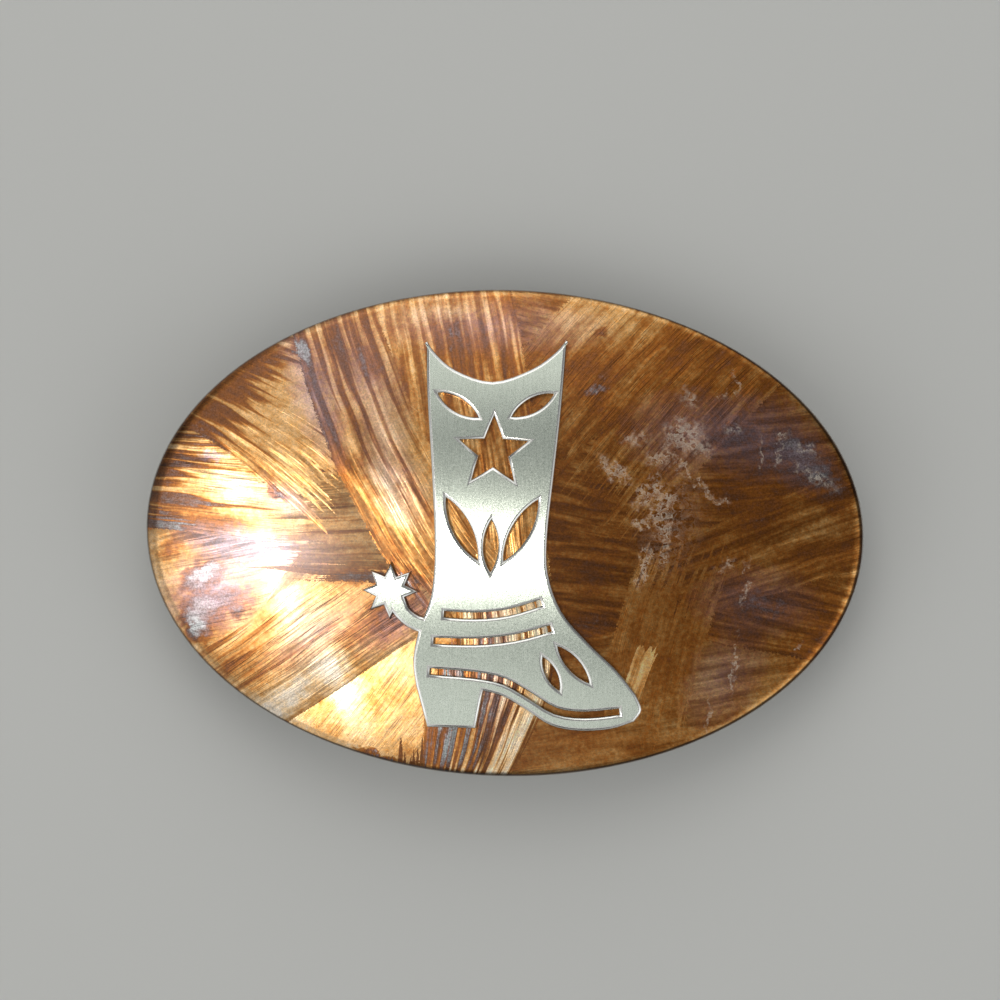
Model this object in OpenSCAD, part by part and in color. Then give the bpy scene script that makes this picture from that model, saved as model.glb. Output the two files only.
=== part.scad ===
// Rodeo belt buckle, in millimetres.
// A domed oval plate of heat-tinted steel carries a satin silver boot and spur
// on its face, and a belt loop and a belt post on its back. The plate lies face
// up: the loop's bar and the post's tip stand on z = 0, under the plate's middle.

/* [Plate] */
// Length of the oval plate, along X
plate_l = 88.9; // [86:0.1:92]
// Width of the oval plate, along Y
plate_w = 60.3; // [58:0.1:63]
// Thickness of the sheet
plate_t = 2; // [1.6:0.1:2.4]
// Rise of the dome, from the edge of the oval to the crown
dome_rise = 4; // [3.5:0.1:4.5]
// Width of the bevel ground round the face's edge
bevel_w = 1.2; // [0.8:0.1:1.5]
// Drop of that bevel
bevel_h = 1.2; // [0.8:0.1:1.4]
// Width of the flat that the back's rim is ground to
rim_flat = 1.5; // [1:0.1:2]

/* [Boot and spur] */
// Thickness of the silver sheet
silver_t = 0.9; // [0.6:0.1:1.2]
// Thickness of the glue line under each bonded piece
glue_t = 0.05; // [0.02:0.01:0.1]
// Radius of the star cut through the shaft
star_r = 4.4; // [3.5:0.1:5]
// Number of points on the spur's rowel
rowel_points = 8; // [6:1:10]
// Radius of the rowel, to its points
rowel_r = 3.5; // [3:0.1:3.8]
// Width of the stitch lines cut through the boot
stitch_w = 0.75; // [0.6:0.05:0.9]

/* [Belt loop] */
// Width of the strap that the loop takes
strap_w = 38; // [36:0.5:39]
// Room for the strap's leather, between the loop's bar and the plate's rim
strap_room = 4.2; // [4:0.1:5]
// Diameter of the loop's wire
wire_d = 2.8; // [2.4:0.1:3.2]
// Distance of the bar's middle from the plate's middle, along X
bar_x = 29.4; // [28:0.1:30]
// Distance of the mounting strip's middle from the plate's middle, along X
strip_x = 11; // [9:0.5:12]
// Width of the mounting strip
strip_w = 7; // [6:0.5:8]
// Thickness of the mounting strip
strip_t = 1.3; // [1:0.1:1.5]

/* [Belt post] */
// Diameter of the post
post_d = 4; // [3.5:0.1:4.5]
// Distance of the post's root from the plate's middle, along X
post_x = 23; // [20:0.5:26]
// Lean of the post, out towards the rim, in degrees
post_lean = 12; // [6:1:16]
// Length of the post's straight part, from its shoulder to its round tip
pin_l = 5.3; // [4.8:0.1:5.4]
// Diameter of the shoulder at the post's root
shoulder_d = 6; // [5.8:0.1:7]
// Diameter of the post's round base
base_d = 11; // [9:0.5:12]
// Thickness of that base
base_t = 1.3; // [1:0.1:1.6]

/* [Hidden] */
$fn = 64;
// Facets of the dome where it is drawn as a mesh
dome_fn = 240;
// More than the thickness of anything that a cutter passes through
over = 1;

// The dome is a ball stretched along X, so its level lines match the oval.
stretch = plate_l / plate_w;
rim_r = plate_w / 2;
outer_r = (rim_r ^ 2 + dome_rise ^ 2) / (2 * dome_rise);
inner_r = outer_r - plate_t;
rim_z = wire_d + strap_room;
dome_z = rim_z - sqrt(inner_r ^ 2 - (rim_r - rim_flat) ^ 2);
crown_z = dome_z + outer_r;
bevel_top_z = dome_z + sqrt(outer_r ^ 2 - (rim_r - bevel_w) ^ 2);
bonded_r = inner_r - glue_t;

// Height of a dome of radius r over the point x, y
function height_at(r, x, y) = dome_z + sqrt(r ^ 2 - (x / stretch) ^ 2 - y ^ 2);

// Point at share t of the way from b to c, on the curve through a, b, c and d
function between(a, b, c, d, t) =
    0.5 * (2 * b + (c - a) * t + (2 * a - 5 * b + 4 * c - d) * t ^ 2 + (3 * b - a - 3 * c + d) * t ^ 3);

// Smooth line through the points of a table. It leaves out the last point, where the next line starts.
function smooth(p, steps = 4) = [
    for (i = [0 : len(p) - 2])
        for (k = [0 : steps - 1])
            between(p[max(i - 1, 0)], p[i], p[i + 1], p[min(i + 2, len(p) - 1)], k / steps)
];

// The boot's side view, as lines that meet at its corners. Columns: x along the plate, y across it.
shaft_top = [[-10.3, 23.6], [-9.2, 22], [-6.6, 19.9], [-2, 18.6], [2.8, 20.3], [5.7, 22.5], [7, 24.2]];
shaft_front = [
    [7, 24.2], [6.5, 15.5], [5.8, 7.2], [5.2, 0], [5.4, -4.8],
    [7.2, -9.4], [10.6, -13.2], [14.2, -16.5], [16.6, -19.4]
];
toe = [[16.6, -19.4], [17.4, -21.3], [16.5, -22.8]];
sole = [
    [16.5, -22.8], [13.6, -23.8], [9.6, -24.1], [6.2, -23.5],
    [3.2, -21.7], [0.4, -20.1], [-2.2, -19.4]
];
heel = [[-2.2, -19.4], [-3, -24.1], [-9, -24.1], [-10.5, -18.9]];
shaft_back = [
    [-10.5, -18.9], [-10.9, -15.8], [-10.2, -11.8], [-8.9, -7.9],
    [-8.6, -2], [-9.2, 7.2], [-10, 16.5], [-10.3, 23.6]
];
// Lines stitched above the sole and along both edges of the spur's strap. Columns as above.
welt_line = [
    [14.6, -21.6], [10.4, -22.1], [6.8, -21.7], [3.6, -19.9],
    [0.4, -18.2], [-3.4, -17.5], [-8.8, -17.2]
];
strap_upper = [[4.6, -8.4], [0.6, -9.7], [-3.4, -10.2], [-7.2, -10.1]];
strap_lower = [[5.9, -11.5], [1.4, -12.8], [-3.4, -13.4], [-8.4, -13.4]];
// Leaves on the shaft and the vamp. Columns: x, y, length, width, turn in degrees.
leaves = [
    [1.9, 0.4, 8.6, 2.2, 62],
    [-5.3, 0.4, 8.6, 2.2, 118],
    [-1.7, -1.6, 6.4, 1.8, 90],
    [3, 15.8, 5.8, 1.7, 30],
    [-6.2, 15.6, 5.8, 1.7, 150],
    [8.8, -15.9, 6, 1.5, -48],
    [6.1, -17.1, 4.6, 1.3, -62]
];
star_at = [-1.7, 10];
rowel_at = [-13.9, -7.4];
// The spur's shank runs from inside its rowel into the boot's heel. Columns: x, y.
shank = [[-13.6, -8.2], [-12.4, -10], [-10.6, -11.3], [-8.2, -11.8]];
shank_w = 1.9;

// Closed outline of a band of width w along a line of points
function band(p, w) = concat(
    [for (i = [0 : len(p) - 1]) p[i] + side_of(p, i) * w / 2],
    [for (i = [len(p) - 1 : -1 : 0]) p[i] - side_of(p, i) * w / 2]
);
// Unit vector across a line at its point i
function side_of(p, i) =
    let (d = p[min(i + 1, len(p) - 1)] - p[max(i - 1, 0)]) [-d[1], d[0]] / norm(d);

// Outline of a star with n points
function star(n, r_out, r_in) = [
    for (i = [0 : 2 * n - 1]) (i % 2 == 0 ? r_out : r_in) * [cos(90 + 180 * i / n), sin(90 + 180 * i / n)]
];

// Ball that gives the dome its curve, with its poles turned away from the plate
module dome_ball(r) {
    translate([0, 0, dome_z])
        rotate([90, 0, 0])
            sphere(r = r, $fn = dome_fn);
}

// Layer of the given thickness that follows the dome, under radius top_r
module dome_layer(top_r, t) {
    scale([stretch, 1, 1])
        difference() {
            dome_ball(top_r);
            dome_ball(top_r - t);
        }
}

// Domed oval sheet, bevelled round its face and ground flat round its back
module face_plate() {
    color("peru")
        scale([stretch, 1, 1])
            difference() {
                intersection() {
                    dome_ball(outer_r);
                    rotate_extrude($fn = dome_fn)
                        polygon([
                            [0, rim_z], [rim_r, rim_z], [rim_r, bevel_top_z - bevel_h],
                            [rim_r - 3 * bevel_w, bevel_top_z + 2 * bevel_h],
                            [0, bevel_top_z + 2 * bevel_h + dome_rise]
                        ]);
                }
                dome_ball(inner_r);
            }
}

// Smooth line of a constant width through the points of a table
module line_along(points, width) {
    polygon(band(concat(smooth(points, 3), [points[len(points) - 1]]), width));
}

// Leaf made by two arcs that meet at its tips
module leaf(length, width) {
    arc_r = (length ^ 2 + width ^ 2) / (4 * width);
    intersection_for (side = [-1, 1])
        translate([0, side * (arc_r - width / 2)])
            circle(r = arc_r);
}

module boot_shape() {
    difference() {
        polygon(concat(
            smooth(shaft_top), smooth(shaft_front), smooth(toe), smooth(sole),
            [heel[0], heel[1], heel[2]], smooth(shaft_back)
        ));
        translate(star_at)
            polygon(star(5, star_r, star_r * 0.42));
        for (l = leaves)
            translate([l[0], l[1]])
                rotate(l[4])
                    leaf(l[2], l[3]);
        line_along(welt_line, stitch_w);
        line_along(strap_upper, stitch_w);
        line_along(strap_lower, stitch_w);
    }
}

// The rowel, and the shank that holds it
module spur_shape() {
    union() {
        line_along(shank, shank_w);
        translate(rowel_at)
            polygon(star(rowel_points, rowel_r, rowel_r * 0.55));
    }
}

// Boot and spur, sawn from silver sheet and bonded to the dome
module boot_overlay() {
    color("gainsboro")
        intersection() {
            union() {
                linear_extrude(crown_z + silver_t + over)
                    boot_shape();
                linear_extrude(crown_z + silver_t + over)
                    spur_shape();
            }
            dome_layer(outer_r + glue_t + silver_t, silver_t);
        }
}

// Quarter turn of the loop's wire, in the XY plane about the origin, from +X to +Y
module wire_bend(r) {
    rotate_extrude(angle = 90)
        translate([r, 0])
            circle(d = wire_d);
}

// Straight wire along +X
module wire(length) {
    rotate([0, 90, 0])
        cylinder(d = wire_d, h = length);
}

// Half of the loop on the +Y side: foot, elbow, leg, corner and half of the bar
module loop_half() {
    elbow_r = 3;
    corner_r = 5;
    leg_y = strap_w / 2 + wire_d / 2 + 0.5;
    foot_x = strip_x;
    foot_top = height_at(bonded_r, foot_x, leg_y) - strip_t / 2;
    translate([foot_x, leg_y, wire_d / 2 + elbow_r])
        cylinder(d = wire_d, h = foot_top - wire_d / 2 - elbow_r);
    translate([foot_x + elbow_r, leg_y, wire_d / 2 + elbow_r])
        rotate([90, 0, 0])
            rotate(180)
                wire_bend(elbow_r);
    translate([foot_x + elbow_r, leg_y, wire_d / 2])
        wire(bar_x - corner_r - foot_x - elbow_r);
    translate([bar_x - corner_r, leg_y - corner_r, wire_d / 2])
        wire_bend(corner_r);
    translate([bar_x, 0, wire_d / 2])
        rotate(90)
            wire(leg_y - corner_r);
}

// Wire loop brazed to its mounting strip
module belt_loop() {
    strip_l = strap_w + 2 * wire_d + 4;
    color("silver") {
        intersection() {
            translate([strip_x - strip_w / 2, -strip_l / 2, 0])
                cube([strip_w, strip_l, crown_z]);
            dome_layer(bonded_r, strip_t);
        }
        loop_half();
        mirror([0, 1, 0])
            loop_half();
    }
}

// Post for the strap's holes, leaning out, with a shoulder on its round base
module belt_post() {
    root_z = height_at(bonded_r, post_x, 0) - base_t / 2;
    tip_z = post_d / 2;
    color("silver") {
        intersection() {
            translate([-post_x, 0, 0])
                cylinder(d = base_d, h = crown_z);
            dome_layer(bonded_r, base_t);
        }
        intersection() {
            translate([-post_x - (root_z - tip_z) * tan(post_lean), 0, tip_z])
                rotate([0, post_lean, 0]) {
                    cylinder(d = post_d, h = crown_z);
                    sphere(d = post_d);
                    translate([0, 0, pin_l])
                        cylinder(d = shoulder_d, h = crown_z);
                }
            scale([stretch, 1, 1])
                dome_ball(bonded_r - base_t / 2);
        }
    }
}

face_plate();
boot_overlay();
belt_loop();
belt_post();
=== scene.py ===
import math
import bmesh
import bpy
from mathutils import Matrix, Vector
from mathutils.geometry import delaunay_2d_cdt


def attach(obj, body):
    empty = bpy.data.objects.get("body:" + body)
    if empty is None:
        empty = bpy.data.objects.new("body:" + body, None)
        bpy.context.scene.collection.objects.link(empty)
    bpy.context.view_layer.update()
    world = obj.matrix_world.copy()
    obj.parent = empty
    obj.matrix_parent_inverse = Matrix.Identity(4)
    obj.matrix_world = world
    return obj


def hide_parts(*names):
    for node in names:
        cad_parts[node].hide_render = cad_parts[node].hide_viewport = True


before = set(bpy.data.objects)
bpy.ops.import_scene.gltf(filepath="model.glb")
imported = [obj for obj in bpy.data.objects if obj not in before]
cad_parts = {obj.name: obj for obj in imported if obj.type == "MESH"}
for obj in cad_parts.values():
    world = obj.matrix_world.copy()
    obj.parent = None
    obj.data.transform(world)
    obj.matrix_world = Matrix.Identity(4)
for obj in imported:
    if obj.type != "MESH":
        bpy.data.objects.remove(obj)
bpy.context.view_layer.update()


# The view: straight down on the plate from arm's length, turned a little, as the photo was taken.
# The photo shows 8.07 pixels to the millimetre at the level of the plate's edge.
mm = 0.001
photo_pixels, pixels_to_mm = 1000, 8.07
photo_width = photo_pixels / pixels_to_mm
film_width = 36
view_turn = math.radians(1.5)
view_height = 450
edge_height = 7.8
# How far the middle of the picture lies from the plate's middle, in the picture's own directions
view_right, view_up = -0.62, 4.09
looking = bpy.data.cameras.new("view")
looking.sensor_width = film_width
looking.lens = film_width * view_height / photo_width
looking.clip_start = 0.01
camera = bpy.data.objects.new("view", looking)
camera.location = (
    (view_right * math.cos(view_turn) - view_up * math.sin(view_turn)) * mm,
    (view_right * math.sin(view_turn) + view_up * math.cos(view_turn)) * mm,
    (edge_height + view_height) * mm,
)
camera.rotation_euler = (0, 0, view_turn)
bpy.context.scene.collection.objects.link(camera)
bpy.context.scene.camera = camera
bpy.context.scene.view_settings.view_transform = "Standard"


# The light: one small bright lamp to the left of the camera, which burns out the strokes that face it, three
# soft panels over the left side and beyond both long sides, and a dim room with brighter walls. The small
# lamp lights metal only, so that it casts no hard shadow on the floor.
def hang_lamp(name, size, power, place, target=(0, 0, 0.008), shape="DISK", tint=(1, 1, 1)):
    lamp = bpy.data.lights.new(name, "AREA")
    lamp.shape = shape
    lamp.size = size
    lamp.energy = power
    lamp.color = tint
    hung = bpy.data.objects.new(name, lamp)
    hung.location = place
    hung.rotation_euler = (Vector(target) - Vector(place)).to_track_quat("-Z", "Y").to_euler()
    bpy.context.scene.collection.objects.link(hung)
    return hung


bulb_white, panel_white = (1, 0.97, 0.92), (1, 0.98, 0.95)
lamp_left = hang_lamp("lamp_left", size=0.06, power=0.83, place=(-0.211, -0.046, 0.6), tint=bulb_white)
lamp_left.visible_diffuse = False
# Columns: size, power, place
soft_panels = {
    "panel_over": (0.8, 0.45, (-0.46, -0.12, 0.70)),
    "panel_far": (0.45, 0.6, (-0.10, 0.42, 0.55)),
    "panel_near": (0.40, 0.22, (-0.06, -0.42, 0.55)),
}
for name, (size, power, place) in soft_panels.items():
    hang_lamp(name, size, power, place, shape="SQUARE", tint=panel_white)
# The walls fade into a dimmer ceiling. Round the room they are brighter in three broad soft swells, so that
# the metal shows its shine from every side.
walls_end, ceiling_starts, ceiling_light = 0.50, 0.93, 0.27
swells, swell_turn, swell_light, wall_light = 3, math.pi, 0.68, 0.78
room = bpy.data.worlds.new("room")
room.use_nodes = True
air, hang = room.node_tree.nodes, room.node_tree.links.new
facing = air.new("ShaderNodeTexCoord")
way = air.new("ShaderNodeSeparateXYZ")
walls = air.new("ShaderNodeMapRange")
walls.interpolation_type = "SMOOTHSTEP"
walls.inputs["From Min"].default_value = walls_end
walls.inputs["From Max"].default_value = ceiling_starts
walls.inputs["To Max"].default_value = ceiling_light
around_room, swell_angle, swell, wall_level = [air.new("ShaderNodeMath") for step in range(4)]
around_room.operation, swell.operation = "ARCTAN2", "SINE"
swell_angle.operation = wall_level.operation = "MULTIPLY_ADD"
swell_angle.inputs[1].default_value, swell_angle.inputs[2].default_value = swells, swell_turn
wall_level.inputs[1].default_value, wall_level.inputs[2].default_value = swell_light, wall_light
hang(facing.outputs["Generated"], way.inputs[0])
hang(way.outputs["Y"], around_room.inputs[0])
hang(way.outputs["X"], around_room.inputs[1])
hang(around_room.outputs[0], swell_angle.inputs[0])
hang(swell_angle.outputs[0], swell.inputs[0])
hang(swell.outputs[0], wall_level.inputs[0])
hang(wall_level.outputs[0], walls.inputs["To Min"])
hang(way.outputs["Z"], walls.inputs["Value"])
hang(walls.outputs["Result"], air["Background"].inputs["Strength"])
air["Background"].inputs["Color"].default_value = (0.97, 0.985, 1, 1)
bpy.context.scene.world = room


# The floor: a wide sheet of plain pale card under the buckle. It isn't part of the buckle, and the lamp on
# the left doesn't light it.
half_card = 2
card = bpy.data.meshes.new("card")
card_corners = [(-1, -1), (1, -1), (1, 1), (-1, 1)]
card.from_pydata([(half_card * x, half_card * y, 0) for x, y in card_corners], [], [(0, 1, 2, 3)])
floor = bpy.data.objects.new("card", card)
bpy.context.scene.collection.objects.link(floor)
pale_card = bpy.data.materials.new("pale_card")
pale_card.use_nodes = True
shader = pale_card.node_tree.nodes["Principled BSDF"]
shader.inputs["Base Color"].default_value = (0.63, 0.63, 0.60, 1)
shader.inputs["Roughness"].default_value = 0.9
card.materials.append(pale_card)


# The plate: a domed oval pressed from 2 mm steel sheet. Its face is ground by hand in fans of long strokes
# and coloured with a torch, its edge is rolled over and its back's rim is ground flat. The dome is a ball
# stretched along the plate, so that one profile, turned about the middle, makes the whole oval.
plate_long, plate_wide, sheet = 88.9, 60.3, 2
dome_rise, bevel, rim_flat, rim_level = 4, 1.2, 1.5, 7
stretch = plate_long / plate_wide
rim = plate_wide / 2
face_ball = (rim ** 2 + dome_rise ** 2) / (2 * dome_rise)
back_ball = face_ball - sheet
ball_middle = rim_level - math.sqrt(back_ball ** 2 - (rim - rim_flat) ** 2)


def dome_height(ball, x, y):
    return ball_middle + math.sqrt(ball ** 2 - (x / stretch) ** 2 - y ** 2)


def rounded(before, corner, after, radius, steps):
    """Points of a soft corner of a profile, between two straight runs."""
    a = (Vector(before) - Vector(corner)).normalized() * radius
    b = (Vector(after) - Vector(corner)).normalized() * radius
    c = Vector(corner)
    shares = [i / steps for i in range(steps + 1)]
    return [tuple((1 - k) ** 2 * (c + a) + 2 * k * (1 - k) * c + k ** 2 * (c + b)) for k in shares]


def face_at(r):
    return (r, ball_middle + math.sqrt(face_ball ** 2 - r ** 2))


def back_at(r):
    return (r, ball_middle + math.sqrt(back_ball ** 2 - r ** 2))


# The profile runs from the first ring round the face's middle out over the rolled edge, down the wall, round
# its sharper foot and in along the back.
first_ring, face_margin, roll, foot_roll = 0.5, 1.4, 1.05, 0.15
face_steps, roll_steps, foot_steps, back_steps, around = 34, 12, 3, 14, 360
wall_top = (rim, face_at(rim - bevel)[1] - bevel)
wall_foot = (rim, rim_level)
flat_inner = (rim - rim_flat, rim_level)
face_width = rim - bevel - face_margin
face_rings = [face_at(first_ring + face_width * k / face_steps) for k in range(face_steps + 1)]
edge_rings = (
    rounded(face_at(rim - bevel - 1), face_at(rim), wall_foot, roll, roll_steps)
    + rounded(wall_top, wall_foot, flat_inner, foot_roll, foot_steps)
)
back_rings = [flat_inner]
back_rings += [back_at((rim - rim_flat) * (1 - k / back_steps)) for k in range(1, back_steps)]
profile = face_rings + edge_rings + back_rings
plate = bpy.data.meshes.new("face_plate_ground")
corners = [(0, 0, face_at(0)[1] * mm)]
for r, z in profile:
    for i in range(around):
        turn = math.tau * i / around
        corners.append((r * stretch * math.cos(turn) * mm, r * math.sin(turn) * mm, z * mm))
corners.append((0, 0, back_at(0)[1] * mm))
# The torch's colours end part of the way round the rolled edge. Below that the steel is bare.
tinted_finish, bare_finish = 0, 1
coloured_rolls = 8
bare_from = len(face_rings) + coloured_rolls
faces, finish_of = [], []
for i in range(around):
    faces.append((0, 1 + i, 1 + (i + 1) % around))
    finish_of.append(tinted_finish)
for k in range(len(profile) - 1):
    for i in range(around):
        a, b = 1 + k * around + i, 1 + k * around + (i + 1) % around
        faces.append((a, a + around, b + around, b))
        finish_of.append(tinted_finish if k < bare_from else bare_finish)
last = 1 + (len(profile) - 1) * around
for i in range(around):
    faces.append((last + i, len(corners) - 1, last + (i + 1) % around))
    finish_of.append(bare_finish)
plate.from_pydata(corners, [], faces)
plate.polygons.foreach_set("material_index", finish_of)
plate.polygons.foreach_set("use_smooth", [True] * len(faces))
plate.update()
face_plate = bpy.data.objects.new("face_plate_ground", plate)
bpy.context.scene.collection.objects.link(face_plate)

# The plate's finish. Each row is one patch that the grinder's hand laid down, and a later row lies over an
# earlier one. middle_x and middle_y are its middle, turn the strokes' direction, bend how much they curve,
# ease how far that dies out across the patch and fan how much they spread. back and front bound it along the
# strokes, low and high across them, slant steps its front on across it, and ragged is how far single strokes
# run past their ends.
laid_columns = (
    "middle_x", "middle_y", "turn", "bend", "ease", "fan", "back", "front", "low", "high", "slant", "ragged",
)
laid_patches = {
    "right side": (26, 2, 2, -0.006, 0, 0, -60, 60, -60, 60, 0, 0),
    "lower right": (20, -20, 11, 0, 0, 0, -30, 40, -14, 9, 0, 6),
    "right bands": (28, -7, -9, 0.002, 0, 0, -30, 22, -6, 5, 0, 9),
    "upper right": (20, 18, 48, 0.003, 0, 0, -14, 30, -9, 17, 0, 12),
    "right fan": (34, 1, 22, 0, 0, 0.012, -16, 20, -7, 4, 0, 10),
    "top middle": (-10, 14, -80, 0.002, 0, 0, -30, 22, -11, 13, 0, 8),
    "short upright": (20, -12, 76, 0.004, 0, 0, -9, 8, -5, 6, 0, 12),
    "gold scratches": (17, -16.8, 70, 0, 0, 0, -3.2, 3.2, -1.2, 1.3, 0, 2),
    "left clouded": (-36, -8, 14, 0, 0, 0, -30, 16, -14, 9, 0, 6),
    "left level": (-34, 4, -3, -0.002, 0, 0.006, -30, 12, -5.5, 14, 0, 5),
    "golden": (-15, -20, 54, -0.002, 0, 0, -30, 16, -14, 18, 0, 4),
    "rising": (-24, -15, 36, 0, 0, 0.004, -30, 24, -6.1, 7.6, 0, 3),
    "middle level": (-17, -1.5, 2, 0, 0, 0.012, -9, 6, -5.0, 9, 0, 12),
    "falling": (-30, 12, -31, 0.008, 0, 0.015, -30, 10, -5, 13, 0, 9),
    "steep": (-20, 8, -64, -0.0055, 0, 0.002, -26, 20, -1, 10.5, 0, 8),
    "bottom points": (-1, -15.4, 90, -0.018, 0.10, 0, -18, 14.3, 4, 8.2, -2.4, 8),
    "bottom upright": (-1, -15.4, 90, -0.018, 0.10, 0, -18, 9, -7.4, 4, 0, 3),
    "rim teeth": (-11.5, -28, 88, 0, 0, 0, -6, 0.2, -2.4, 2.2, -0.3, 6),
}
# How each patch looks. heat is the torch's colour, swing how far the strokes differ from it, light how bright
# the patch is, partly its own colour and partly painted light: painted shade round the lamp's highlight on
# the left tones that down, and the top middle is painted lighter. edge is how much more heat the lower side
# took.
# Dark strokes run in from the rim: start is where they start, reach how far in they run, dark how much darker
# they are and crowd how close they start. lean_x and lean_y tip the ground metal, and depth is how deep its
# strokes are cut.
look_columns = (
    "heat", "swing", "light", "edge", "start", "reach", "dark", "lean_x", "lean_y", "crowd", "depth",
)
patch_looks = {
    "right side": (0.57, 0.40, 0.80, 0, -60, 1, 0, 0.02, 0, 0, 1),
    "lower right": (0.50, 0.22, 0.77, 0, -60, 1, 0, 0, 0, 0, 0.8),
    "right bands": (0.57, 0.38, 0.75, 0, -60, 1, 0, 0.02, 0, 0, 1),
    "upper right": (0.54, 0.38, 0.85, 0, -60, 1, 0, 0, 0, 0, 1),
    "right fan": (0.56, 0.34, 0.78, 0, -60, 1, 0, 0.02, 0, 0, 1),
    "top middle": (0.43, 0.34, 1.12, 0, -13, 34, 0.15, 0, 0, 0.24, 1),
    "short upright": (0.51, 0.14, 0.88, 0, -60, 1, 0, 0, 0, 0, 1),
    "gold scratches": (0.41, 0.60, 1.30, 0, -60, 1, 0, 0, 0, 0, 1),
    "left clouded": (0.39, 0.12, 0.58, 0, -60, 1, 0, 0, 0.035, 0, 0.5),
    "left level": (0.37, 0.13, 0.52, 0, -10.5, 12, 0.38, 0.01, -0.065, 0.20, 0.8),
    "golden": (0.38, 0.16, 0.85, 0, -60, 1, 0, -0.04, 0.14, 0, 0.45),
    "rising": (0.40, 0.20, 0.60, 0.02, -13, 10, 0.18, 0, 0.05, 0.16, 0.75),
    "middle level": (0.42, 0.20, 0.50, 0.12, 9, -16, 0.14, 0.05, 0, 0.16, 0.8),
    "falling": (0.37, 0.16, 0.94, 0.06, -9, 11, 0.25, 0.02, 0, 0.40, 0.8),
    "steep": (0.43, 0.26, 0.94, 0.12, -19, 34, 0.20, 0, 0, 0.20, 0.65),
    "bottom points": (0.56, 0.40, 1.0, 0, -18, 60, 0.30, -0.03, 0.12, 0.16, 1),
    "bottom upright": (0.20, 0.40, 1.0, -0.08, -18, 60, 0.48, -0.04, 0.12, 0.16, 1),
    "rim teeth": (0.62, 0.20, 0.7, 0, -60, 1, 0, 0, 0, 0, 1),
}
patches = []
for name, laid_row in laid_patches.items():
    patches.append(dict(zip(laid_columns + look_columns, laid_row + patch_looks[name])))

# One ground patch: it passes on the strokes' coordinates, along, across and the patch's number, where it
# covers the plate, and those of the patches under it elsewhere.
laid = bpy.data.node_groups.new("ground_patch", "ShaderNodeTree")
for title in ("Place", "Under", "Middle", "Turn"):
    laid.interface.new_socket(title, in_out="INPUT", socket_type="NodeSocketVector")
for title in ("Bend", "Ease", "Fan", "Back", "Front", "Low", "High", "Slant", "Ragged", "Fray", "Number"):
    laid.interface.new_socket(title, in_out="INPUT", socket_type="NodeSocketFloat")
laid.interface.new_socket("Strokes", in_out="OUTPUT", socket_type="NodeSocketVector")


class Bench:
    """Places nodes in one tree. Its methods take sockets or numbers, and return the socket that they make."""

    def __init__(self, tree):
        self.tree = tree

    def put(self, kind, out=0, settings=(), **links):
        """Adds a node. _0 feeds its first input, and Base_Color the input of that name."""
        node = self.tree.nodes.new(kind)
        for name, value in dict(settings).items():
            setattr(node, name, value)
        for name, value in links.items():
            key = int(name[1:]) if name[0] == "_" and name[1:].isdigit() else name.replace("_", " ")
            self.feed(node.inputs[key], value)
        return node.outputs[out]

    def feed(self, socket, value):
        if isinstance(value, bpy.types.NodeSocket):
            self.tree.links.new(value, socket)
        else:
            socket.default_value = value

    def sum(self, operation, a, b=0.0, c=0.0):
        return self.put("ShaderNodeMath", settings={"operation": operation}, _0=a, _1=b, _2=c)

    def group(self, effect, **links):
        """Places a shared effect and returns its outputs."""
        node = self.tree.nodes.new("ShaderNodeGroup")
        node.node_tree = effect
        for name, value in links.items():
            self.feed(node.inputs[name], value)
        return node.outputs

    def place_in_mm(self):
        """Where a point lies on its piece, in millimetres."""
        place = self.vector("SCALE", self.put("ShaderNodeTexCoord", out="Object"))
        place.node.inputs["Scale"].default_value = 1 / mm
        return place

    def add(self, a, b):
        return self.sum("ADD", a, b)

    def times(self, a, b):
        return self.sum("MULTIPLY", a, b)

    def split(self, vector):
        node = self.tree.nodes.new("ShaderNodeSeparateXYZ")
        self.tree.links.new(vector, node.inputs[0])
        return node.outputs

    def join(self, x, y, z=0.0):
        return self.put("ShaderNodeCombineXYZ", _0=x, _1=y, _2=z)

    def vector(self, operation, a, b=(0, 0, 0)):
        return self.put("ShaderNodeVectorMath", settings={"operation": operation}, _0=a, _1=b)

    def fade(self, value, low, high, to_low=0.0, to_high=1.0):
        """Runs smoothly from to_low to to_high as value goes from low to high."""
        return self.put(
            "ShaderNodeMapRange", settings={"interpolation_type": "SMOOTHSTEP"},
            _0=value, _1=low, _2=high, _3=to_low, _4=to_high,
        )

    def noise(self, place, scale=1.0, detail=2.0, rough=0.5, dimensions="3D"):
        key = "W" if dimensions == "1D" else "Vector"
        return self.put(
            "ShaderNodeTexNoise", settings={"noise_dimensions": dimensions},
            Scale=scale, Detail=detail, Roughness=rough, **{key: place},
        )

    def blend(self, share, a, b):
        node = self.tree.nodes.new("ShaderNodeMix")
        node.data_type = "RGBA"
        self.feed(node.inputs["Factor"], share)
        self.feed(node.inputs["A"], a)
        self.feed(node.inputs["B"], b)
        return node.outputs["Result"]

    def blend_vector(self, share, a, b):
        node = self.tree.nodes.new("ShaderNodeMix")
        node.data_type = "VECTOR"
        self.feed(node.inputs["Factor"], share)
        self.feed(node.inputs[4], a)
        self.feed(node.inputs[5], b)
        return node.outputs[1]

    def ramp(self, share, stops, kind="LINEAR"):
        node = self.tree.nodes.new("ShaderNodeValToRGB")
        node.color_ramp.interpolation = kind
        marks = node.color_ramp.elements
        while len(marks) < len(stops):
            marks.new(0.5)
        for mark, (place, colour) in zip(marks, stops):
            mark.position = place
        for mark, (place, colour) in zip(marks, stops):
            mark.color = tuple(colour) + (1,)
        self.feed(node.inputs["Fac"], share)
        return node.outputs["Color"]


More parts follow.
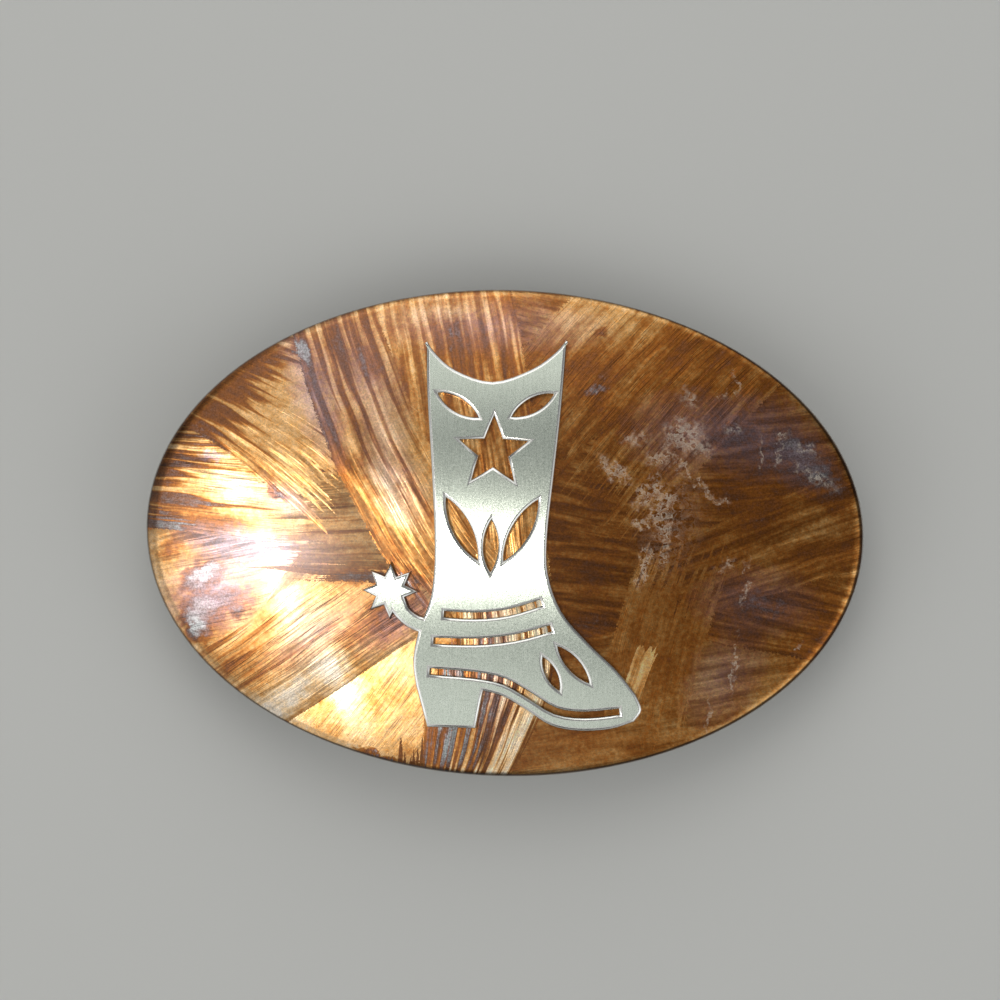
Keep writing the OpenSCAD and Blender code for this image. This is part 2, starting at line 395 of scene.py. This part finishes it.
b = Bench(laid)
given = laid.nodes.new("NodeGroupInput").outputs
along, sideways, _ = b.split(b.put(
    "ShaderNodeMapping", settings={"vector_type": "TEXTURE"},
    Vector=given["Place"], Location=given["Middle"], Rotation=given["Turn"],
))
eased = b.sum("SUBTRACT", 1.0, b.times(sideways, given["Ease"]))
curve = b.times(b.times(given["Bend"], b.times(along, along)), eased)
across = b.sum("DIVIDE", b.add(sideways, curve), b.add(b.times(given["Fan"], along), 1))
# Each stroke has a tip of its own, and each patch tips of its own.
tips_to_mm, next_patch = 1.1, 31.7
tip_place = b.sum("MULTIPLY_ADD", across, tips_to_mm, b.times(given["Number"], next_patch))
tips = b.noise(tip_place, dimensions="1D", detail=2, rough=0.75)
frayed = b.times(given["Fray"], given["Ragged"])
uneven = b.sum("MULTIPLY_ADD", b.add(tips, -0.5), b.times(given["Ragged"], 2), frayed)
from_end = b.sum("SUBTRACT", b.sum("SUBTRACT", along, b.times(given["Slant"], across)), uneven)
from_side = b.sum("MULTIPLY_ADD", frayed, 0.3, across)


def between(value, low, high):
    """1 where value lies between low and high, and 0 elsewhere."""
    half = b.times(b.sum("SUBTRACT", high, low), 0.5)
    return b.sum("COMPARE", value, b.times(b.add(low, high), 0.5), half)


in_length = between(from_end, given["Back"], given["Front"])
in_width = between(from_side, given["Low"], given["High"])
strokes = b.blend_vector(b.times(in_length, in_width), given["Under"], b.join(along, across, given["Number"]))
b.tree.links.new(strokes, laid.nodes.new("NodeGroupOutput").inputs["Strokes"])

# Marks that a grinder or a brush leaves along a stroke. Broad, Narrow and Hair are masks from wide to fine,
# and Slope is how far they tip the metal sideways.
marks = bpy.data.node_groups.new("stroke_marks", "ShaderNodeTree")
for title in ("Along", "Across", "Seed", "Depth"):
    marks.interface.new_socket(title, in_out="INPUT", socket_type="NodeSocketFloat")
for title in ("Broad", "Narrow", "Hair", "Slope"):
    marks.interface.new_socket(title, in_out="OUTPUT", socket_type="NodeSocketFloat")
b = Bench(marks)
given = marks.nodes.new("NodeGroupInput").outputs


def marks_of(long_scale, wide_scale, next_seed=7.31):
    """Marks so many to the millimetre along the stroke and across it."""
    long_way, wide_way = b.times(given["Along"], long_scale), b.times(given["Across"], wide_scale)
    return b.noise(b.join(long_way, wide_way, b.times(given["Seed"], next_seed)), detail=1)


broad = marks_of(0.13, 0.95)
narrow = marks_of(0.19, 3.0)
hair = marks_of(0.22, 11)
# Most of the slope comes from the finest marks. All of them together even out at 0.38.
uneven = b.add(b.add(b.times(broad, 0.14), b.times(narrow, 0.21)), b.times(hair, 0.41))
slope = b.times(b.add(uneven, -0.38), given["Depth"])
shown = marks.nodes.new("NodeGroupOutput").inputs
for title, value in {"Broad": broad, "Narrow": narrow, "Hair": hair, "Slope": slope}.items():
    b.tree.links.new(value, shown[title])

# Metal tipped sideways by its strokes: Side is the direction across them, and Lean tips the whole patch.
tipping = bpy.data.node_groups.new("tipped_metal", "ShaderNodeTree")
tipping.interface.new_socket("Slope", in_out="INPUT", socket_type="NodeSocketFloat")
for title in ("Side", "Lean"):
    tipping.interface.new_socket(title, in_out="INPUT", socket_type="NodeSocketVector")
tipping.interface.new_socket("Normal", in_out="OUTPUT", socket_type="NodeSocketVector")
b = Bench(tipping)
given = tipping.nodes.new("NodeGroupInput").outputs
tip = b.put(
    "ShaderNodeVectorMath", settings={"operation": "MULTIPLY_ADD"},
    _0=given["Side"], _1=given["Slope"], _2=given["Lean"],
)
to_world = {"vector_type": "VECTOR", "convert_from": "OBJECT", "convert_to": "WORLD"}
tip = b.put("ShaderNodeVectorTransform", settings=to_world, Vector=tip)
faced = b.vector("NORMALIZE", b.vector("ADD", b.put("ShaderNodeNewGeometry", out="Normal"), tip))
b.tree.links.new(faced, tipping.nodes.new("NodeGroupOutput").inputs["Normal"])

# Spots that the torch heated more, and paler spots where the amount is below 0. Columns: x, y, turn, long,
# wide, amount.
# The paler spots round the lamp's highlight, on the left and lower left, are a painted highlight that whitens
# it.
heat_and_highlight_spots = [
    (-25.7, 22.2, -60, 2.4, 1.1, 0.34), (-28.0, 4.2, -35, 2.2, 0.8, 0.30),
    (-17.0, 20.0, -60, 4.0, 1.6, 0.16), (-9.2, 18.2, 90, 2.6, 0.8, 0.22), (-7.0, 25.0, 90, 2.0, 1.2, 0.12),
    (-9.0, 27.2, 6, 9.0, 2.2, -0.16), (-34.5, -2.2, -8, 5.5, 1.2, 0.20), (-37.2, -6.2, 22, 3.6, 2.0, 0.55),
    (-35.8, -9.3, 15, 4.6, 1.8, 0.22), (-41.5, -2.8, 30, 2.4, 1.6, 0.20),
    (-38.0, -12.6, -50, 3.0, 2.0, 0.42), (-32.6, -10.3, 0, 1.6, 1.2, 0.30),
    (-15.0, -5.9, -2, 7.0, 1.3, 0.24), (-14.5, -10.5, 34, 7.5, 3.0, 0.20),
    (-15.3, -27.9, -14, 4.0, 0.6, 0.40), (-4.4, -21.0, 88, 11.0, 3.6, 0.34),
    (27.5, 12.8, 20, 4.0, 2.2, 0.20), (25.8, 15.2, 60, 1.8, 0.8, 0.12), (33.5, 10.5, -10, 6.0, 3.6, 0.12),
    (37.0, 11.0, -24, 5.0, 2.2, 0.12), (38.6, 6.6, -20, 5.0, 3.0, 0.10), (31.5, -7.6, -8, 5.0, 1.8, 0.14),
    (33.5, -9.0, -10, 4.2, 1.6, 0.12), (-33.5, 4.5, -40, 7.0, 3.6, -0.22),
    (-27.5, -8.0, -65, 8.0, 3.6, -0.20), (-19.6, -19.5, -66, 9.0, 3.2, -0.26),
    (-15.2, -1.0, -62, 9.0, 2.2, -0.06), (7.0, 26.5, 0, 9.0, 4.5, -0.12),
    (16.0, 25.5, -14, 10.0, 4.0, -0.09), (-26.0, -20.5, 36, 9.0, 3.5, -0.32),
    (-14.5, 5.5, -64, 6.0, 2.4, -0.22), (-14.5, 13.0, -64, 7.0, 3.0, -0.10),
    (-38.0, 0.2, 0, 8.0, 2.2, 0.18), (38.6, 8.4, -26, 6.0, 1.6, 0.16), (38.0, 1.5, 12, 7.0, 3.0, -0.07),
    (35.8, 11.4, -20, 4.6, 1.2, 0.12), (-33.0, -4.0, 10, 7.0, 2.5, 0.14), (-34.0, -9.0, 20, 6.5, 3.5, 0.20),
    (-37.0, -11.0, -40, 5.0, 3.0, 0.20), (-27.5, -4.4, 0, 7.0, 2.2, 0.10), (10.6, 17.8, 24, 2.6, 0.9, 0.20),
    (11.2, 25.0, 0, 1.2, 0.8, 0.2),
]

# Patches of violet haze in the torch's colours. Columns: x, y, turn, long, wide, amount.
violet_spots = [
    (-33.5, -2.0, -6, 8.5, 2.6, 1.0), (-27.5, -3.2, 0, 9.0, 4.0, 0.6), (-35.5, -8.0, 15, 7.5, 6.0, 0.85),
    (-36.5, 8.6, 0, 2.6, 0.7, 0.8), (-27.0, 3.4, -30, 5.0, 2.4, 0.5), (-23.0, -13.0, 36, 9.0, 4.0, 0.35),
    (-12.6, -11.0, 36, 8.0, 3.4, 0.45), (-24.0, 17.0, -68, 11.0, 3.4, 0.6),
    (-18.0, 19.0, -60, 11.0, 5.0, 0.35), (-14.0, 7.0, -60, 9.0, 4.0, 0.3), (-3.0, 25.5, 0, 17.0, 4.0, 0.35),
    (-1.0, -16.0, 90, 12.0, 3.6, 0.35), (31.0, 12.5, -8, 9.0, 6.0, 0.60), (36.5, 9.5, -20, 6.0, 4.0, 0.45),
    (31.0, -7.5, 0, 9.0, 5.0, 0.35), (27.5, -17.0, 60, 8.0, 5.0, 0.30), (22.0, 13.0, 0, 9.0, 6.0, 0.40),
]

# Dried water stains, pale and dull. Columns: x, y, turn, long, wide, amount.
stains = [
    (21.6, 12.9, 0, 3.6, 2.4, 0.8), (22.4, 17.2, -50, 1.9, 1.2, 0.7), (13.2, 8.2, -35, 3.4, 1.5, 0.8),
    (19.3, 3.4, 80, 3.6, 1.6, 0.85), (19.9, -0.6, 84, 3.4, 0.8, 0.7), (15.8, 12.0, 10, 2.6, 1.3, 0.55),
    (21.6, 8.6, -42, 2.4, 0.7, 0.7), (24.0, 6.5, -55, 2.2, 0.6, 0.6), (26.4, 4.9, -12, 2.6, 0.6, 0.5),
    (17.0, 1.8, 10, 1.8, 0.7, 0.6), (28.8, -15.6, 88, 6.0, 0.35, 0.75), (25.6, -22.0, 84, 3.6, 0.35, 0.6),
    (28.1, 19.0, -68, 2.2, 0.4, 0.7), (31.2, 10.8, 86, 3.4, 0.35, 0.6), (33.6, 10.8, 86, 3.2, 0.4, 0.6),
    (29.8, -5.5, 88, 4.6, 0.35, 0.6), (36.6, -13.2, 80, 0.9, 0.5, 0.7), (27.2, -3.2, 30, 2.4, 0.9, 0.45),
    (26.5, 17.6, 50, 1.4, 0.8, 0.45), (27.8, 13.2, 24, 2.2, 0.9, 0.5), (38.2, 8.0, -28, 4.6, 1.0, 0.62),
    (37.0, 11.2, -22, 3.2, 0.8, 0.50), (34.0, 13.0, -10, 2.0, 0.6, 0.40), (23.6, 11.0, -12, 3.0, 1.2, 0.55),
    (20.5, 2.0, 75, 13.0, 7.0, 0.30), (17.4, 5.6, 60, 3.2, 1.4, 0.7), (17.2, -3.8, 80, 3.4, 0.9, 0.6),
    (18.6, 9.8, 30, 3.0, 1.4, 0.6),
]

tinted = bpy.data.materials.new("heat_tinted_steel")
tinted.use_nodes = True
b = Bench(tinted.node_tree)
shader = tinted.node_tree.nodes["Principled BSDF"]
place = b.place_in_mm()
plain_x, plain_y, _ = b.split(place)


def wander(scale, detail, rough=0.5):
    """A soft random shift to either side, in all three directions."""
    colours = b.put(
        "ShaderNodeTexNoise", out="Color", Vector=place, Scale=scale, Detail=detail, Roughness=rough,
    )
    return b.vector("SUBTRACT", colours, (0.5, 0.5, 0.5))


# The hand wanders a little, so that no stroke is quite straight.
hand_wander = 0.9
drift = b.vector("MULTIPLY", wander(0.10, 1.0), (hand_wander, hand_wander, 0))
hand_place = b.vector("ADD", place, drift)
fray = b.times(b.add(b.noise(place, 3.5, 2, 0.9), -0.5), 0.5)
strokes = b.join(0, 0, 0)
for number, patch in enumerate(patches):
    sizes = {title.title(): patch[title] for title in laid_columns[3:]}
    strokes = b.group(
        laid, Place=hand_place, Under=strokes, Middle=(patch["middle_x"], patch["middle_y"], 0),
        Turn=(0, 0, math.radians(patch["turn"])), Number=number, Fray=fray, **sizes,
    )["Strokes"]
along, across, number = b.split(strokes)
share = b.times(b.add(number, 0.5), 1 / len(patches))


def by_patch(*columns):
    """Up to three columns of the patch that shows. A ramp holds 0 to 1, so each value is packed into it."""
    packed_range, packed_zero = 128, 64
    stops = []
    for i, patch in enumerate(patches):
        turn = math.radians(patch["turn"])
        known = dict(patch, side_x=-math.sin(turn), side_y=math.cos(turn), none=-packed_zero)
        packed = [(known[column] + packed_zero) / packed_range for column in columns]
        stops.append((i / len(patches), packed))
    values = b.split(b.ramp(share, stops, "CONSTANT"))
    return [b.sum("MULTIPLY_ADD", values[i], packed_range, -packed_zero) for i in range(3)]


def spread_spots(rows, place):
    """The sum of soft oval spots, each strongest in its middle."""
    spot_strength = 1.4
    flat_place = b.vector("MULTIPLY", place, (1, 1, 0))
    total = 0.0
    for x, y, turn, long, wide, amount in rows:
        oval = b.put(
            "ShaderNodeMapping", settings={"vector_type": "TEXTURE"}, Vector=flat_place,
            Location=(x, y, 0), Rotation=(0, 0, math.radians(turn)), Scale=(long, wide, 1),
        )
        soft = b.put("ShaderNodeTexGradient", out="Fac", settings={"gradient_type": "SPHERICAL"}, Vector=oval)
        total = b.sum("MULTIPLY_ADD", soft, amount * spot_strength, total)
    return total


def with_part(tone, mask, amount):
    """The tone with so much of a mask added to it."""
    return b.sum("MULTIPLY_ADD", mask, amount, tone)


# light carries painted shade round the lamp's highlight on the left and painted light at the top middle.
heat, swing, light = by_patch("heat", "swing", "light")
edge, low_side, dark = by_patch("edge", "low", "dark")
start, reach, lean_x = by_patch("start", "reach", "lean_x")
lean_y, crowd, side_x = by_patch("lean_y", "crowd", "side_x")
side_y, depth, _ = by_patch("side_y", "depth", "none")
marked = b.group(marks, Along=along, Across=across, Seed=number, Depth=depth)
broad = b.fade(marked["Broad"], 0.34, 0.66)
narrow = b.fade(marked["Narrow"], 0.30, 0.70)
stroke_tone = b.add(b.times(broad, 0.68), b.times(narrow, 0.32))
# Dark strokes start side by side at the rim and taper to points further in.
run_in = b.fade(b.sum("DIVIDE", b.add(along, b.times(start, -1)), reach), 0.0, 1.0, 1.0, 0.0)
streak_place = b.join(b.times(along, 0.05), b.times(across, 1.15), b.sum("MULTIPLY_ADD", number, 5.1, 2.7))
streak = b.noise(streak_place, detail=2)
dark_stroke = b.fade(b.sum("MULTIPLY_ADD", run_in, crowd, streak), 0.59, 0.76)
edge_side = b.fade(b.add(across, b.times(low_side, -1)), 0.6, 3.0, 1.0, 0.0)
# The spots of colour have ragged borders.
spot_wander = 3.2
ragged = b.vector("MULTIPLY", wander(0.8, 2.0, 0.6), (spot_wander, spot_wander, 0))
cloudy_place = b.vector("ADD", place, ragged)
# Torch colour spots, and the painted highlight of the paler spots round the lamp's highlight
heat_and_highlight = spread_spots(heat_and_highlight_spots, cloudy_place)
cloud = b.noise(place, 0.16, 4, 0.6)
mottle = b.noise(place, 1.7, 3, 0.7)
speckle = b.noise(place, 4.4, 2, 0.85)
tempered = b.add(heat, b.times(b.add(stroke_tone, -0.5), b.times(swing, 0.35)))
tempered = with_part(tempered, dark_stroke, dark)
tempered = with_part(tempered, edge_side, edge)
tempered = b.add(tempered, heat_and_highlight)
tempered = with_part(tempered, b.add(cloud, -0.5), 0.42)
tempered = with_part(tempered, b.add(mottle, -0.5), 0.34)
tempered = with_part(tempered, b.add(speckle, -0.5), 0.22)
# The rim is rounded over, with a painted highlight that makes it paler, widest on the left by the lamp.
on_circle = b.join(b.times(plain_x, 1 / stretch), plain_y)
from_middle = b.put("ShaderNodeVectorMath", out=1, settings={"operation": "LENGTH"}, _0=on_circle)
rim_share = b.times(from_middle, 1 / rim)
rim_highlight_starts = b.fade(plain_x, -30, 20, 0.955, 0.966)
rim_painted_highlight = b.fade(b.sum("SUBTRACT", rim_share, rim_highlight_starts), 0.0, 0.022)
# The outermost line is darkened by a painted shadow, widest towards the lower right, away from the lamp.
lower_right = b.sum("MULTIPLY_ADD", plain_y, -0.7, b.times(plain_x, 0.7))
edge_shadow_from = b.fade(lower_right, -25, 25, 0.9945, 0.986)
edge_painted_shadow = b.fade(b.sum("SUBTRACT", rim_share, edge_shadow_from), -0.002, 0.004)
# The painted highlight on the rim: its colour made paler, most of all on the left.
tempered = with_part(tempered, rim_painted_highlight, b.fade(plain_x, -30, 20, -0.10, -0.08))
# The torch's colours, from the palest straw to blue grey
temper_colours = [
    (0.00, (0.97, 0.84, 0.68)),
    (0.16, (0.90, 0.66, 0.40)),
    (0.28, (0.78, 0.48, 0.22)),
    (0.38, (0.65, 0.350, 0.118)),
    (0.46, (0.50, 0.215, 0.052)),
    (0.56, (0.35, 0.112, 0.016)),
    (0.68, (0.26, 0.098, 0.036)),
    (0.80, (0.26, 0.17, 0.15)),
    (0.90, (0.34, 0.32, 0.32)),
    (1.00, (0.45, 0.49, 0.49)),
]
colour = b.ramp(tempered, temper_colours)
# Strokes, dark strokes, fine speckle and the painted shadow round the edge each darken the metal.
shade = b.sum("MULTIPLY_ADD", stroke_tone, b.times(swing, -1.1), b.sum("MULTIPLY_ADD", swing, 0.55, light))
shade = b.times(shade, with_part(1.0, dark_stroke, b.times(dark, -1.0)))
shade = b.times(shade, b.fade(speckle, 0.25, 0.75, 0.62, 1.38))
# The painted shadow darkens the outermost line of the rim.
shade = b.times(shade, with_part(1.0, edge_painted_shadow, -0.85))
colour = b.vector("MULTIPLY", colour, b.join(shade, shade, shade))
haze = b.times(spread_spots(violet_spots, cloudy_place), b.fade(mottle, 0.25, 0.65, 0.35, 1.0))
red = b.put("ShaderNodeSeparateColor", _0=colour)
violet_tint = (0.96, 0.68, 0.76)
violet = b.join(*[b.times(red, part) for part in violet_tint])
colour = b.blend(haze, colour, violet)
# A stain is a lacy net of fine dry lines with blots between them.
dry_stain, stain_cover, stain_roughness = (0.50, 0.43, 0.335, 1), 0.7, 0.25
net = b.fade(b.sum("ABSOLUTE", b.add(b.noise(place, 0.75, 3, 0.65), -0.5)), 0.0, 0.05, 1.0, 0.0)
blots = b.fade(b.noise(place, 1.5, 3, 0.8), 0.40, 0.66, 0.0, 0.75)
stain = b.times(b.fade(spread_spots(stains, cloudy_place), 0.05, 0.75), b.sum("MAXIMUM", net, blots))
colour = b.blend(b.times(stain, stain_cover), colour, dry_stain)
b.feed(shader.inputs["Base Color"], colour)
# Clear lacquer, thick on the left and almost worn off on the right
b.feed(shader.inputs["Coat Weight"], b.fade(plain_x, -10, 22, 0.6, 0.08))
shader.inputs["Coat Roughness"].default_value = 0.24
b.feed(shader.inputs["Metallic"], b.fade(stain, 0.0, 1.0, 1.0, 0.4))
gloss = b.sum("MULTIPLY_ADD", marked["Hair"], 0.12, 0.23)
b.feed(shader.inputs["Roughness"], with_part(gloss, stain, stain_roughness))
tipped = b.group(tipping, Slope=marked["Slope"], Side=b.join(side_x, side_y), Lean=b.join(lean_x, lean_y))
grain_height = 0.004
grain = b.times(b.noise(place, 9.0, 1), grain_height)
ground = b.put("ShaderNodeBump", Strength=1.0, Distance=mm, Height=grain, Normal=tipped["Normal"])
b.feed(shader.inputs["Normal"], ground)
plate.materials.append(tinted)

# The plate's edge and back: bare brushed steel, browned by the same heat.
bare = bpy.data.materials.new("browned_steel")
bare.use_nodes = True
b = Bench(bare.node_tree)
shader = bare.node_tree.nodes["Principled BSDF"]
place = b.place_in_mm()
plain_x, plain_y, _ = b.split(place)
marked = b.group(marks, Along=plain_x, Across=plain_y, Seed=40, Depth=0.3)
cloud = b.noise(place, 0.07, 3, 0.6)
tone = b.add(b.times(b.add(marked["Narrow"], marked["Hair"]), 0.2), b.times(cloud, 0.6))
browned = [(0.34, (0.33, 0.26, 0.19)), (0.50, (0.40, 0.36, 0.32)), (0.66, (0.45, 0.44, 0.43))]
b.feed(shader.inputs["Base Color"], b.ramp(tone, browned))
shader.inputs["Metallic"].default_value = 1
b.feed(shader.inputs["Roughness"], b.fade(marked["Hair"], 0.2, 0.8, 0.34, 0.5))
tipped = b.group(tipping, Slope=marked["Slope"], Side=(0, 1, 0))
b.feed(shader.inputs["Normal"], tipped["Normal"])
plate.materials.append(bare)
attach(face_plate, "root")
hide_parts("face_plate")


# The boot and spur: sawn from 0.9 mm nickel silver, curved to the dome and bonded on. Its face is brushed
# upright to a satin, and its edges are rolled over and polished. The outline comes from the CAD piece.
silver, glue = 0.9, 0.05
silver_top = face_ball + glue + silver
same_point, facing_up = 0.002, 0.5
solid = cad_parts["boot_overlay"]
shape = bmesh.new()
shape.from_mesh(solid.data)
bmesh.ops.remove_doubles(shape, verts=shape.verts, dist=same_point * mm)
# An edge that only one of the top's faces has is part of an outline.
top_faces = [f for f in shape.faces if f.normal.z > facing_up]
tops = set(top_faces)
step_on = {}
for f in top_faces:
    for loop in f.loops:
        if not any(g in tops and g is not f for g in loop.edge.link_faces):
            step_on[loop.vert] = loop.link_loop_next.vert
outlines = []
while step_on:
    vert = next(iter(step_on))
    line = []
    while vert in step_on:
        line.append(Vector((vert.co.x / mm, vert.co.y / mm)))
        vert = step_on.pop(vert)
    outlines.append(line)
shape.free()


def thinned(line, apart):
    """Leaves out points closer together than apart."""
    kept = [line[0]]
    for p in line[1:]:
        if (p - kept[-1]).length > apart:
            kept.append(p)
    return kept if (kept[0] - kept[-1]).length > apart else kept[:-1]


def inset(line, depth):
    """The line moved into the metal, which lies on its left, by depth."""
    sharpest = 0.42
    moved = []
    for i, p in enumerate(line):
        before = (p - line[i - 1]).normalized()
        after = (line[(i + 1) % len(line)] - p).normalized()
        left = Vector((-after.y, after.x))
        side = Vector((-before.y - after.y, before.x + after.x))
        side = side.normalized() if side.length > 1e-6 else left
        reach = depth / max(sharpest, side.dot(left))
        moved.append(p + side * reach)
    return moved


verts, faces, finish_of = [], [], []
satin_finish, polished_finish = 0, 1


def silver_point(p, drop):
    """A point of the silver, so far below its domed face."""
    z = dome_height(silver_top, p.x, p.y) - drop
    verts.append((p.x * mm, p.y * mm, z * mm))
    return len(verts) - 1


# The rolled edge, from the face out to the wall. Columns: how far inside the outline, how far below the face.
edge_steps = [(0.40, 0.0), (0.26, 0.03), (0.12, 0.12), (0.03, 0.24), (0.0, 0.36)]
closest_points = 0.03
top_lines, top_rings, under_lines, under_rings = [], [], [], []
for outline in outlines:
    line = thinned(outline, closest_points)
    rings = []
    for depth, drop in edge_steps:
        rings.append([silver_point(p, drop) for p in inset(line, depth)])
    rings.append([silver_point(p, silver) for p in line])
    for upper, lower in zip(rings, rings[1:]):
        for i in range(len(line)):
            k = (i + 1) % len(line)
            faces.append((upper[i], lower[i], lower[k], upper[k]))
            finish_of.append(polished_finish)
    top_lines.append(inset(line, edge_steps[0][0]))
    top_rings.append(rings[0])
    under_lines.append(line)
    under_rings.append(rings[-1])


def crosses(p, lines):
    """True if p is inside an odd number of the lines."""
    odd = False
    for line in lines:
        for i, q in enumerate(line):
            r = line[i - 1]
            if (q.y > p.y) != (r.y > p.y) and p.x < (r.x - q.x) * (p.y - q.y) / (r.y - q.y) + q.x:
                odd = not odd
    return odd


def fill(lines, rings, spacing, drop, flip):
    """Fills the metal between the lines with triangles, whose inner points lie spacing apart on the dome."""
    points, edges = [], []
    for line in lines:
        first = len(points)
        points += line
        edges += [(first + i, first + (i + 1) % len(line)) for i in range(len(line))]
    edge_points = list(points)
    edge_room = 0.45 * spacing
    own = [i for ring in rings for i in ring]
    low_x, high_x = min(p.x for p in points), max(p.x for p in points)
    low_y, high_y = min(p.y for p in points), max(p.y for p in points)
    for iy in range(int((high_y - low_y) / spacing) + 1):
        for ix in range(int((high_x - low_x) / spacing) + 1):
            p = Vector((low_x + (ix + 0.5 * (iy % 2)) * spacing, low_y + iy * spacing))
            if crosses(p, lines) and min((p - q).length for q in edge_points) > edge_room:
                points.append(p)
    got, _, triangles, origin, _, _ = delaunay_2d_cdt(points, edges, [], 0, 1e-6)
    place_of = []
    for p, source in zip(got, origin):
        known = [own[i] for i in source if i < len(own)]
        place_of.append(known[0] if known else silver_point(Vector(p), drop))
    for triangle in triangles:
        middle = sum((got[i] for i in triangle), Vector((0, 0))) / 3
        if crosses(middle, lines):
            face = tuple(place_of[i] for i in triangle)
            faces.append(face[::-1] if flip else face)
            finish_of.append(satin_finish)


fill(top_lines, top_rings, spacing=0.7, drop=0, flip=False)
fill(under_lines, under_rings, spacing=2.5, drop=silver, flip=True)
boot = bpy.data.meshes.new("boot_silver")
boot.from_pydata(verts, [], faces)
# A flat map gives the brushing its direction.
map_width = 60 * mm
flat = boot.uv_layers.new(name="flat")
for loop in boot.loops:
    x, y, _ = boot.vertices[loop.vertex_index].co
    flat.uv[loop.index].vector = (0.5 + x / map_width, 0.5 + y / map_width)
boot.polygons.foreach_set("material_index", finish_of)
boot.polygons.foreach_set("use_smooth", [True] * len(faces))
boot.update()
sharp_corner = math.radians(50)
boot.set_sharp_from_angle(angle=sharp_corner)
# The satin face keeps the dome's own smooth shading right up to where its edge starts to roll.
face_normals = []
for loop in boot.loops:
    x, y, z = boot.vertices[loop.vertex_index].co / mm
    on_face = abs(z - dome_height(silver_top, x, y)) < same_point
    dome_normal = Vector((x / stretch ** 2, y, z - ball_middle)).normalized()
    face_normals.append(dome_normal if on_face else Vector())
boot.normals_split_custom_set(face_normals)
boot_piece = bpy.data.objects.new("boot_silver", boot)
bpy.context.scene.collection.objects.link(boot_piece)


def silver_finish(name, tones, roughness, brush_height, lean=(0, 0, 0), drawn_out=0):
    """Nickel silver brushed upright. lean tips it, and drawn_out is how far lights spread across it."""
    made = bpy.data.materials.new(name)
    made.use_nodes = True
    b = Bench(made.node_tree)
    shader = made.node_tree.nodes["Principled BSDF"]
    place = b.place_in_mm()
    x, y, _ = b.split(place)
    brushed = b.noise(b.join(b.times(x, 12), b.times(y, 0.25)), detail=2)
    grain = b.noise(place, 6.0, 2, 0.7)
    tone = b.add(b.times(brushed, 0.35), b.times(grain, 0.65))
    b.feed(shader.inputs["Base Color"], b.ramp(tone, tones))
    shader.inputs["Metallic"].default_value = 1
    b.feed(shader.inputs["Roughness"], b.fade(grain, 0.3, 0.7, *roughness))
    grain_height = 0.004
    height = b.sum("MULTIPLY_ADD", grain, grain_height, b.times(brushed, brush_height))
    leaning = b.group(tipping, Lean=lean)["Normal"]
    ground = b.put("ShaderNodeBump", Strength=1.0, Distance=mm, Height=height, Normal=leaning)
    b.feed(shader.inputs["Normal"], ground)
    if drawn_out:
        shader.inputs["Anisotropic"].default_value = drawn_out
        upright = {"direction_type": "UV_MAP", "uv_map": "flat"}
        b.feed(shader.inputs["Tangent"], b.put("ShaderNodeTangent", settings=upright))
    return made


satin_tones = [(0.30, (0.46, 0.51, 0.44)), (0.52, (0.63, 0.69, 0.60)), (0.72, (0.82, 0.87, 0.78))]
polished_tones = [(0.3, (0.62, 0.62, 0.58)), (0.7, (0.86, 0.86, 0.82))]
boot.materials.append(silver_finish(
    "satin_silver", satin_tones, roughness=(0.24, 0.30), brush_height=0.007,
    lean=(-0.10, -0.006, 0), drawn_out=0.75,
))
boot.materials.append(silver_finish(
    "polished_silver", polished_tones, roughness=(0.16, 0.26), brush_height=0.002,
))
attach(boot_piece, "root")
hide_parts("boot_overlay")


# The belt loop and the post: steel wire and rod, brazed to their strip and base, nickel plated and bonded
# to the plate's back. They are the CAD pieces themselves.
nickel = bpy.data.materials.new("nickel_plate")
nickel.use_nodes = True
b = Bench(nickel.node_tree)
shader = nickel.node_tree.nodes["Principled BSDF"]
place = b.place_in_mm()
film = b.noise(place, 0.45, 3)
film_tones = [(0.30, (0.46, 0.43, 0.38)), (0.55, (0.62, 0.60, 0.55)), (0.75, (0.70, 0.68, 0.64))]
b.feed(shader.inputs["Base Color"], b.ramp(film, film_tones))
shader.inputs["Metallic"].default_value = 1
b.feed(shader.inputs["Roughness"], b.fade(film, 0.3, 0.7, 0.34, 0.18))
worn_height = 0.02
worn = b.times(b.noise(place, 3, 3), worn_height)
b.feed(shader.inputs["Normal"], b.put("ShaderNodeBump", Strength=0.4, Distance=mm, Height=worn))
for name in ("belt_loop", "belt_post"):
    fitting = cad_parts[name]
    fitting.data.materials.clear()
    fitting.data.materials.append(nickel)
